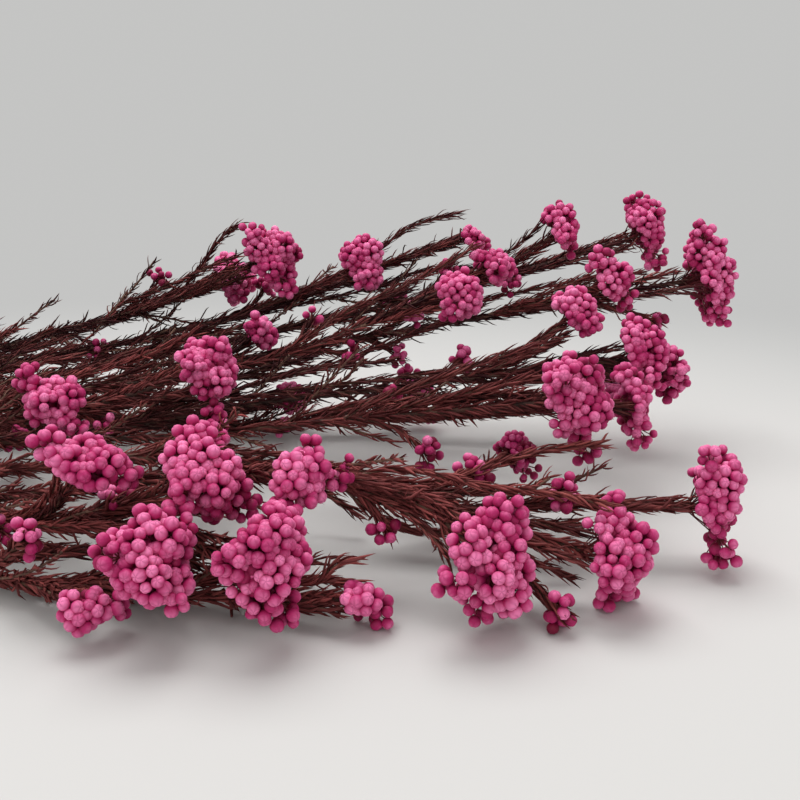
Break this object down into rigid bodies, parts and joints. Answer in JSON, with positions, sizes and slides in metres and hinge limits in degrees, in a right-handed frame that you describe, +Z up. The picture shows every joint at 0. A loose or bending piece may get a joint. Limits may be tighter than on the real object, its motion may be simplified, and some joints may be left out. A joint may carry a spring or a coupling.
{
  "type": "bunch of dried rice flowers",
  "caption": "Loose bunch of dried rice flowers lying on its side: leafy woody stems fan out to domed heads of small round magenta blossoms.",
  "frame": {"origin": "on the table, under the middle of the bunch's outline", "axes": "+X from the cut ends to the flowering tips, +Y across the fan towards its back, +Z up"},
  "size_m": [0.5534, 0.2278, 0.0952],
  "materials": {
    "stem_wood": "matt, finely ridged bark",
    "needle_leaves": "dry and matt, dark burgundy to brown",
    "blossoms": "papery, faintly satin, magenta pink"
  },
  "bodies": {
    "root": {"flower_head_01": "blossoms", "flower_head_02": "blossoms", "flower_head_03": "blossoms", "flower_head_04": "blossoms", "flower_head_05": "blossoms", "flower_head_06": "blossoms", "flower_head_07": "blossoms", "flower_head_08": "blossoms", "flower_head_09": "blossoms", "flower_head_10": "blossoms", "flower_head_11": "blossoms", "flower_head_12": "blossoms", "flower_head_13": "blossoms", "flower_head_14": "blossoms", "flower_head_15": "blossoms", "flower_head_16": "blossoms", "flower_head_17": "blossoms", "flower_head_18": "blossoms", "flower_head_19": "blossoms", "flower_head_20": "blossoms", "flower_head_21": "blossoms", "flower_head_22": "blossoms", "flower_head_23": "blossoms", "flower_head_24": "blossoms", "flower_head_25": "blossoms", "flower_head_26": "blossoms", "flower_head_27": "blossoms", "flower_head_28": "blossoms", "flower_head_29": "blossoms", "flower_head_30": "blossoms", "flower_head_31": "blossoms", "flower_head_32": "blossoms", "flower_head_33": "blossoms", "flower_head_34": "blossoms", "leaves_01": "needle_leaves", "leaves_02": "needle_leaves", "leaves_03": "needle_leaves", "leaves_04": "needle_leaves", "leaves_05": "needle_leaves", "leaves_06": "needle_leaves", "leaves_07": "needle_leaves", "leaves_08": "needle_leaves", "leaves_09": "needle_leaves", "leaves_10": "needle_leaves", "leaves_11": "needle_leaves", "leaves_12": "needle_leaves", "leaves_13": "needle_leaves", "stem_01": "stem_wood", "stem_02": "stem_wood", "stem_03": "stem_wood", "stem_04": "stem_wood", "stem_05": "stem_wood", "stem_06": "stem_wood", "stem_07": "stem_wood", "stem_08": "stem_wood", "stem_09": "stem_wood", "stem_10": "stem_wood", "stem_11": "stem_wood", "stem_12": "stem_wood", "stem_13": "stem_wood"}
  },
  "joints": []
}
